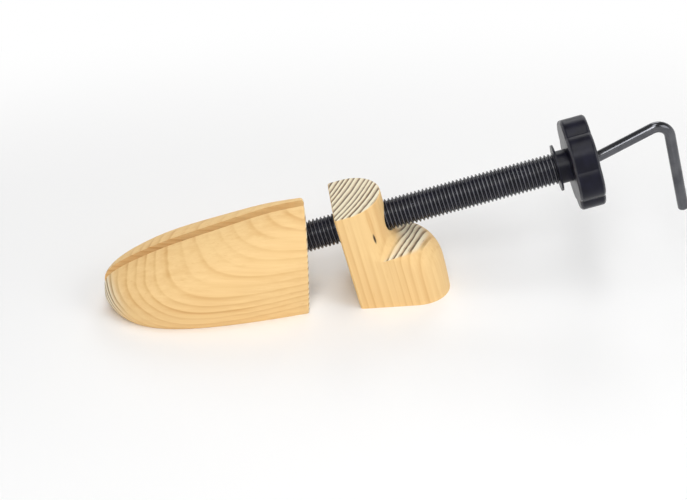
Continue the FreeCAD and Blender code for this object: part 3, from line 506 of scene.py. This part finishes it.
def metal(name):
    look, grain = metalLooks[name], metalGrain
    material, start, shader = newMaterial(name)
    place = split(surfaceMark(start, "Vector")) if look["fromSurface"] else xyz(start)
    brushed = vector(start, *(way * cells for way, cells in zip(place, look["streak"])))
    lines = noise(start, brushed, scale=1.0, detail=grain["linesDetail"], roughness=grain["linesRoughness"])
    cloud = noise(start, vector(start, *place), *grain["cloud"])
    mottle = cloud * grain["cloudShare"] + lines * (1 - grain["cloudShare"])
    dull = ease(cloud, *grain["dullEdges"]) * grain["dullGloss"]
    feed(blendColour(ease(mottle, *grain["toneEdges"]), look["tone"], look["shade"]), shader, "Base Color")
    feed(look["roughness"] + (lines - noiseMiddle) * grain["linesGloss"] + dull, shader, "Roughness")
    feed(bump(lines, grain["bumpStrength"], grain["bumpHeight"]), shader, "Normal")
    shader.inputs["Metallic"].default_value = 1.0
    return material


metals = {name: metal(name) for name in metalLooks}
dress(metals["frameSteel"], "spreader_frame", "wedge_nut", "ramp_plate_left", "ramp_plate_right")
dress(metals["bushBrass"], "guide_bushes_left", "guide_bushes_right")
dress(metals["brightSteel"], "guide_pin_rear", "guide_pin_front", "thrust_washer", "rod_washer",
      "rod_circlip", "sleeve_circlip", "ramp_screws_left", "ramp_screws_right", "spring_anchors_left",
      "spring_anchors_right")
print("metals: frame, pins, screws and bushes")


# Screw sleeve: journal and circlip groove in front, the thread, then a hexagonal tail inside the knob

sleeve = {
    "pitch": 0.0025, "depth": 0.00135, "crestShare": 0.20, "rootShare": 0.12, "startTurn": 0.25,
    "rowsPerTurn": 20, "around": 60, "sharpAngle": 48.0, "crestBand": 0.00003,
    "journalRadius": 0.0070, "grooveRadius": 0.0062, "grooveWidth": 0.0010, "grooveFromTip": 0.00245,
    "tailRadius": 0.0080, "tailFlats": 6, "chamfer": 0.0015, "edge": 0.0003,
}


def makeSleeve():
    # radius(along, angle), row by row: turned rings in front, the helical groove, then the hexagon
    us, vs, ws = axisCoords("threaded_sleeve")
    radii = np.hypot(vs, ws)
    outer, bore = radii.max(), radii.min()
    tip, tailEnd = us.min(), us.max()
    full = us[radii > outer - sleeve["crestBand"]]
    shoulder, rear = full.min() - sleeve["chamfer"], full.max()
    angles = turnAngles(sleeve["around"])
    journal, groove, edge = sleeve["journalRadius"], sleeve["grooveRadius"], sleeve["edge"]
    grooveEnd = tip + sleeve["grooveFromTip"]
    grooveStart = grooveEnd - sleeve["grooveWidth"]
    front = ringRows([(tip, bore), (tip, journal - edge), (tip + edge, journal), (grooveStart, journal),
                      (grooveStart, groove), (grooveEnd, groove), (grooveEnd, journal), (shoulder, journal),
                      (shoulder, outer - sleeve["chamfer"] - sleeve["depth"])], angles)
    along, radius, crest = threadRows(shoulder, rear, outer, sleeve, angles)
    radius = np.minimum(radius, outer - sleeve["chamfer"] + (along - shoulder))
    # hexagon: flat-to-flat half width over the cosine of the angle from the middle of each flat
    flat = tau / sleeve["tailFlats"]
    hexagon = sleeve["tailRadius"] * math.cos(flat / 2) / np.cos(np.mod(angles, flat) - flat / 2)
    tailAlong, tailRadius = ringRows([(rear, 0), (tailEnd, 0), (tailEnd, bore)], angles)
    tailRadius[:2] = hexagon
    grid = spunGrid(*joinRows(front, (along, radius), (tailAlong, tailRadius)), angles)
    threadFrom = len(front[0])
    mark = np.zeros(grid.shape)
    mark[threadFrom:threadFrom + len(crest)] = crest[..., None]
    addPiece("screwSleeve", [(grid, mark)], sleevePlastic, "screw", ["threaded_sleeve"],
             sleeve["sharpAngle"], closedRows=True)


makeSleeve()
print("sleeve: thread cut along its length")


# Hooked rod: straight shaft, gentle rise behind the knob, tight bend and a straight leg with a rounded end

rod = {
    "pitch": 0.0020, "depth": 0.0007, "crestShare": 0.20, "rootShare": 0.16, "startTurn": 0.0,
    "rowsPerTurn": 16, "around": 40, "sharpAngle": 40.0,
    "radius": 0.0035, "threadRadius": 0.0030, "journalRadius": 0.0022, "grooveRadius": 0.0017,
    "tipPastBlock": 0.0035, "blockLength": 0.0101, "threadLength": 0.04195, "grooveWidth": 0.0008,
    "grooveFromBlock": 0.0011, "knobToBend": 0.0006, "exitRadius": 0.012, "rise": 14.5, "reach": 0.0364,
    "bendRadius": 0.0085, "turn": 104.0, "leg": 0.0565, "endRound": 0.0016, "endRows": 7, "rowsPerBend": 26,
    "edge": 0.0002,
}


def rodPath(s, runs):
    # heading(s) = first heading + bend * s and position its integral, run by run
    u, w, heading = (np.zeros(s.shape) for _ in range(3))
    for run in runs:
        inside = s >= run["start"]
        ahead = s[inside] - run["start"]
        first, bend = run["heading"], run["bend"]
        turned = first + bend * ahead
        if bend:
            u[inside] = run["u"] + (np.sin(turned) - math.sin(first)) / bend
            w[inside] = run["w"] - (np.cos(turned) - math.cos(first)) / bend
        else:
            u[inside] = run["u"] + ahead * math.cos(first)
            w[inside] = run["w"] + ahead * math.sin(first)
        heading[inside] = turned
    return u, w, heading


def rodRuns(tip, exitStart):
    # (length, bend) of shaft, rise, reach, hook and leg: each run starts where the one before it ends
    rise, turn = math.radians(rod["rise"]), math.radians(rod["turn"])
    plan = ((exitStart - tip, 0), (rise * rod["exitRadius"], 1 / rod["exitRadius"]), (rod["reach"], 0),
            (turn * rod["bendRadius"], -1 / rod["bendRadius"]), (rod["leg"], 0))
    runs, start, u, w, heading = [], 0.0, tip, 0.0, 0.0
    for length, bend in plan:
        end = start + length
        runs.append({"start": start, "end": end, "u": u, "w": w, "heading": heading, "bend": bend})
        u, w, heading = (float(last[0]) for last in rodPath(np.array([end]), runs[-1:]))
        start = end
    return runs


def makeRod():
    # radius(s, angle), row by row, carried along the path: journal and groove, thread, shaft and rounded end
    tip = axisCoords("hook_rod")[0].min()
    knobRear = axisCoords("length_knob")[0].max()
    runs = rodRuns(tip, knobRear + rod["knobToBend"])
    total = runs[-1]["end"]
    angles = turnAngles(rod["around"])
    journal, groove, edge = rod["journalRadius"], rod["grooveRadius"], rod["edge"]
    root = rod["threadRadius"] - rod["depth"]
    blockFace = rod["tipPastBlock"]
    grooveEnd = blockFace - rod["grooveFromBlock"]
    grooveStart = grooveEnd - rod["grooveWidth"]
    shoulder = blockFace + rod["blockLength"]
    threadEnd = shoulder + rod["threadLength"]
    front = ringRows([(0, 0), (0, journal - edge), (edge, journal), (grooveStart, journal),
                      (grooveStart, groove), (grooveEnd, groove), (grooveEnd, journal), (shoulder, journal),
                      (shoulder, root)], angles)
    along, radius = threadRows(shoulder, threadEnd, rod["threadRadius"], rod, angles)[:2]
    radius = np.minimum(radius, root + (along - shoulder))
    bends = [np.linspace(run["start"], run["end"], rod["rowsPerBend"]) for run in runs if run["bend"]]
    shaft = np.concatenate([[threadEnd, threadEnd], *bends, [total - rod["endRound"]]])
    shaftRadius = np.full(shaft.shape, rod["radius"])
    shaftRadius[0] = root
    curl = np.linspace(0, math.pi / 2, rod["endRows"])[1:]
    tail = np.append(total - rod["endRound"] * (1 - np.sin(curl)), total)
    tailRadius = np.append(rod["radius"] - rod["endRound"] * (1 - np.cos(curl)), 0)
    rear = np.stack([np.append(shaft, tail), np.append(shaftRadius, tailRadius)], 1)
    s, r = joinRows(front, (along, radius), ringRows(rear, angles))
    u, w, heading = rodPath(s, runs)
    # each ring stands square to the path: out along v and along the path's normal in the u, w plane
    lift = r * np.sin(angles)
    points = toRow(u - lift * np.sin(heading), r * np.cos(angles), w + lift * np.cos(heading))
    mark = np.stack([r * np.cos(angles), lift, s], -1)
    addPiece("hookRod", [(points, mark)], metals["rodSteel"], "crank", ["hook_rod"],
             rod["sharpAngle"])


makeRod()
print("rod: swept with its thread and hook")


# Return springs: each is two half helices that meet in the middle plane

spring = {"turns": 8, "coilRadius": 0.0032, "wireRadius": 0.0005, "rowsPerTurn": 40, "around": 12}


def makeSprings():
    for end in ("rear", "front"):
        us, vs, ws = axisCoords("return_spring_" + end)
        midU, midW = (us.min() + us.max()) / 2, (ws.min() + ws.max()) / 2
        reach = vs.max() - spring["wireRadius"]
        for side, sign in (("Left", 1), ("Right", -1)):
            makeHalfSpring(end, side, sign, midU, midW, reach)


def makeHalfSpring(end, side, sign, midU, midW, reach):
    # middle line: (R cos a, rise * a, R sin a); the wire's ring lies in the radial and binormal directions
    last = math.pi * spring["turns"]
    turning = sign * np.linspace(0, last, spring["turns"] * spring["rowsPerTurn"] // 2 + 1)[:, None]
    rise, coil = reach / last, spring["coilRadius"]
    angles = turnAngles(spring["around"])
    slope = math.hypot(coil, rise)
    capped = np.concatenate([turning[:1], turning, turning[-1:]])
    ring = np.full(capped.shape, spring["wireRadius"])
    ring[0] = ring[-1] = 0
    out, tilt = ring * np.cos(angles), ring * np.sin(angles)
    u = (coil + out) * np.cos(capped) + tilt * rise / slope * np.sin(capped)
    v = rise * capped + tilt * coil / slope
    w = (coil + out) * np.sin(capped) - tilt * rise / slope * np.cos(capped)
    points = toRow(midU + u, v, midW + w)
    mark = np.stack([out, tilt, capped * slope + 0 * out], -1)
    piece = addPiece(end + "Spring" + side, [(points, mark)], metals["springSteel"])
    middle, seat = (tuple(toRow(midU, place, midW)) for place in (0.0, sign * reach))
    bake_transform(piece)
    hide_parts("return_spring_" + end)


makeSprings()
print("springs: wound in halves")


# Screws of the heel nut: flat heads with a cross recess, on the nut's flange

nutScrew = {
    "circle": 0.0149, "count": 3, "firstAngle": 90.0, "headRadius": 0.0020, "headDepth": 0.0014,
    "shankRadius": 0.0015, "length": 0.0110, "crossLength": 0.00125, "crossWidth": 0.00030,
    "crossSlope": 0.00022, "crossDepth": 0.0008, "rim": 0.00025, "rings": 30, "around": 64,
}


def makeNutScrews():
    # face(r, a): sunk by crossDepth inside either bar of a cross, with sloping walls, and rounded at the rim
    faceU = axisCoords("heel_nut_screws")[0].min()
    angles = turnAngles(nutScrew["around"])
    head, shank, slope = nutScrew["headRadius"], nutScrew["shankRadius"], nutScrew["crossSlope"]
    radius = np.linspace(0, head, nutScrew["rings"])[:, None] + np.zeros(len(angles))
    x, y = radius * np.cos(angles), radius * np.sin(angles)

    def bar(lengthways, sideways):
        return (smoothstep((nutScrew["crossLength"] - np.abs(lengthways)) / slope)
                * smoothstep((nutScrew["crossWidth"] + slope - np.abs(sideways)) / slope))

    sunk = nutScrew["crossDepth"] * np.maximum(bar(x, y), bar(y, x))
    edge = nutScrew["rim"] * smoothstep((radius - head) / nutScrew["rim"] + 1)
    body = ringRows([(nutScrew["headDepth"], head), (nutScrew["headDepth"], shank),
                     (nutScrew["length"], shank), (nutScrew["length"], 0)], angles)
    depth, wide = joinRows((sunk + edge, radius), body)
    grids = []
    for number in range(nutScrew["count"]):
        spot = math.radians(nutScrew["firstAngle"]) + number * tau / nutScrew["count"]
        points = toRow(faceU + depth, nutScrew["circle"] * math.cos(spot) + wide * np.cos(angles + spot),
                       nutScrew["circle"] * math.sin(spot) + wide * np.sin(angles + spot))
        grids.append((points, None))
    addPiece("nutScrews", grids, metals["brightSteel"], "heel", ["heel_nut_screws"])


makeNutScrews()
print("screws: three in the heel nut")


# Floor, light and camera

stage = {
    "reach": 12.0, "tone": (0.97, 0.97, 0.97), "roughness": 0.9, "specular": 0.1,
    "world": 0.37, "seen": 1.0, "overhead": 0.28, "overheadEdges": (0.2, 0.7),
    "fadeEdges": (0.14, 0.42), "fadeStretch": 0.55, "lampTarget": (0.0, 0.0, 0.04),
}
lamps = {
    "key": {"place": (-0.22, -1.02, 1.12), "size": (0.50, 0.70), "watts": 7.0},
    "top": {"place": (-0.05, -0.20, 1.45), "size": (0.40, 1.00), "watts": 4.4},
    "fill": {"place": (0.95, -0.70, 0.85), "size": (0.80, 0.80), "watts": 5.0},
    "back": {"place": (0.25, 1.15, 0.95), "size": (0.60, 0.60), "watts": 3.6},
}
view = {
    "target": (-0.0314, 0.0, 0.0304), "azimuth": -5.235, "elevation": 32.41, "roll": -0.68,
    "distance": 1.0966, "focalPixels": 1700.0, "pictureWidth": 687.0, "sensor": 36.0, "clip": (0.05, 20.0),
}


def seenRay(start):
    # 1 for what the camera sees, straight, in a reflection or through something clear
    camera, glossy, clear = (start.node("ShaderNodeLightPath", output=ray)
                             for ray in ("Is Camera Ray", "Is Glossy Ray", "Is Transmission Ray"))
    return start.math("MINIMUM", camera + glossy + clear, 1.0)


def makeFloor():
    reach = stage["reach"]
    corners = [(-reach, -reach, 0), (reach, -reach, 0), (reach, reach, 0), (-reach, reach, 0)]
    mesh = bpy.data.meshes.new("floor")
    mesh.from_pydata(corners, [], [(0, 1, 2, 3)])
    material, start, shader = newMaterial("paleFloor")
    shader.inputs["Base Color"].default_value = (*stage["tone"], 1)
    shader.inputs["Roughness"].default_value = stage["roughness"]
    shader.inputs["Specular IOR Level"].default_value = stage["specular"]
    # away from the object the floor fades into the pale background
    x, y = xyz(start)[:2]
    lengthways = x * stage["fadeStretch"]
    far = ease((lengthways * lengthways + y * y) ** 0.5, *stage["fadeEdges"])
    glow = start.node("ShaderNodeEmission", None, {"Strength": stage["seen"]})
    plain = Field(start.tree, shader.outputs["BSDF"])
    mixed = start.node("ShaderNodeMixShader", None, {0: far * seenRay(start), 1: plain, 2: glow})
    feed(mixed, start.tree.nodes["Material Output"], "Surface")
    mesh.materials.append(material)
    floor = bpy.data.objects.new("floor", mesh)
    bpy.context.scene.collection.objects.link(floor)


def makeWorld():
    world = bpy.data.worlds.new("studio")
    world.use_nodes = True
    start = Field(world.node_tree)
    background = world.node_tree.nodes["Background"]
    background.inputs["Color"].default_value = (1, 1, 1, 1)
    # what is seen, also in reflections, is pale round about and darker overhead
    direction = start.node("ShaderNodeTexCoord", output="Generated")
    upward = start.node("ShaderNodeSeparateXYZ", None, {"Vector": direction}, "Z")
    seen = stage["seen"] + ease(upward, *stage["overheadEdges"]) * (stage["overhead"] - stage["seen"])
    feed(stage["world"] + seenRay(start) * (seen - stage["world"]), background, "Strength")
    bpy.context.scene.world = world


def aim(obj, place, target, roll=0.0):
    # columns of the matrix: right, up and back, turned by roll about back
    back = np.array(place) - np.array(target)
    back /= np.linalg.norm(back)
    right = np.cross([0, 0, 1], back)
    right /= np.linalg.norm(right)
    up = np.cross(back, right)
    turn = math.radians(roll)
    across = math.cos(turn) * right + math.sin(turn) * up
    upward = math.cos(turn) * up - math.sin(turn) * right
    matrix = np.eye(4)
    matrix[:3] = np.stack([across, upward, back, np.array(place)], 1)
    obj.matrix_world = Matrix(matrix.tolist())


def makeLamps():
    for name, lamp in lamps.items():
        data = bpy.data.lights.new(name, "AREA")
        data.shape, data.energy = "RECTANGLE", lamp["watts"]
        data.size, data.size_y = lamp["size"]
        made = bpy.data.objects.new(name, data)
        bpy.context.scene.collection.objects.link(made)
        aim(made, lamp["place"], stage["lampTarget"])


def makeCamera():
    data = bpy.data.cameras.new("camera")
    data.sensor_width = view["sensor"]
    data.lens = view["sensor"] * view["focalPixels"] / view["pictureWidth"]
    data.clip_start, data.clip_end = view["clip"]
    camera = bpy.data.objects.new("camera", data)
    bpy.context.scene.collection.objects.link(camera)
    azimuth, elevation = math.radians(view["azimuth"]), math.radians(view["elevation"])
    back = np.array([math.sin(azimuth) * math.cos(elevation), -math.cos(azimuth) * math.cos(elevation),
                     math.sin(elevation)])
    target = np.array(view["target"])
    aim(camera, target + view["distance"] * back, target, view["roll"])
    bpy.context.scene.camera = camera


makeFloor()
makeWorld()
makeLamps()
makeCamera()
bpy.context.scene.view_settings.view_transform = "Standard"
print("stage: floor, lamps and camera")
